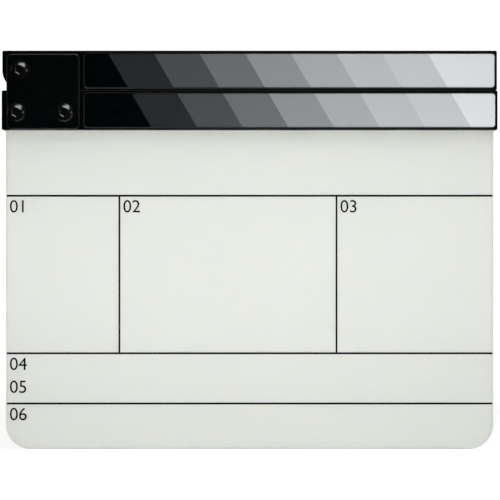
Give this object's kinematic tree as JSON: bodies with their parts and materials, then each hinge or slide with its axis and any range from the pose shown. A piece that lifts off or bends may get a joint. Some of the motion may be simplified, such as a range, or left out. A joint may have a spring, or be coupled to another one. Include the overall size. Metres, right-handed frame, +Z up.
{
  "type": "clapperboard",
  "caption": "Film clapperboard: an opal acrylic slate with ruled fields under two black sticks with grey-scale striped inlays, the upper stick hinged at one end to clap shut.",
  "frame": {"origin": "middle of the slate's bottom edge, on the middle of the sheet's thickness", "axes": "+Z up from the slate's bottom edge to the sticks, +X from the hinge end to the free end, +Y to the back, so the front faces -Y"},
  "size_m": [0.3, 0.0282, 0.2413],
  "materials": {
    "opal_acrylic": "satin opal sheet with polished edges",
    "black_plastic": "satin black, fine grain",
    "striped_acrylic": "slanted grey-scale stripes from black to white, satin",
    "black_coated_steel": "satin black coating, fine texture",
    "black_oxide_steel": "black oxide, slightly oily sheen",
    "white_nylon": "natural",
    "bronze": "turned",
    "nickel_plate": "plated",
    "adhesive_film": "matte film"
  },
  "bodies": {
    "board": {"slate_board": "opal_acrylic", "lower_stick": "black_plastic", "lower_stripe_strip": "striped_acrylic", "lower_strip_tape": "adhesive_film", "lower_magnet": "nickel_plate", "front_hinge_plate": "black_coated_steel", "rear_hinge_plate": "black_coated_steel", "plate_screws": "black_oxide_steel", "plate_washers": "black_oxide_steel", "plate_nuts": "black_oxide_steel", "plate_nut_rings": "white_nylon", "pivot_screw": "black_oxide_steel", "pivot_washer": "black_oxide_steel", "pivot_nut": "black_oxide_steel", "pivot_nut_ring": "white_nylon", "slate_screws": "black_oxide_steel"},
    "clapper": {"upper_stick": "black_plastic", "upper_stripe_strip": "striped_acrylic", "upper_strip_tape": "adhesive_film", "upper_magnet": "nickel_plate", "pivot_bush": "bronze", "front_friction_washer": "white_nylon", "rear_friction_washer": "white_nylon"}
  },
  "joints": [
    {"name": "clapper_hinge", "type": "hinge", "parent": "board", "child": "clapper", "pos_m": [-0.1389, 0, 0.22935], "axis": [0, -1, 0], "range_deg": [0, 94]}
  ]
}
